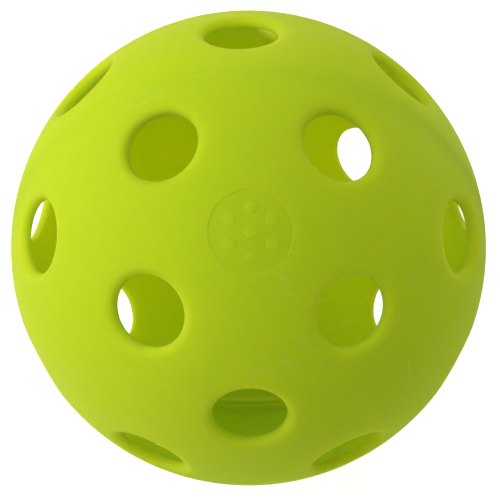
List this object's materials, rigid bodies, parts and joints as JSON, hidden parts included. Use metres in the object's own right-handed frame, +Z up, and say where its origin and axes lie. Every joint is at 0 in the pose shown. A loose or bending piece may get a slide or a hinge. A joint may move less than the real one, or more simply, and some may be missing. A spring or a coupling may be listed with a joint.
{
  "type": "pickleball ball",
  "caption": "Hollow moulded ball with round holes all over, made of two half shells welded at the equator.",
  "frame": {"origin": "centre of the ball", "axes": "+Y along the pole axis, from the front half's pole hole to the rear half's; the weld lies in the XZ plane; +Z up"},
  "size_m": [0.074, 0.0728, 0.074],
  "materials": {
    "shell": "satin, slightly translucent polyethylene",
    "weld": "satin, re-melted polyethylene"
  },
  "bodies": {
    "root": {"front_half": "shell", "rear_half": "shell", "weld_bead": "weld"}
  },
  "joints": []
}
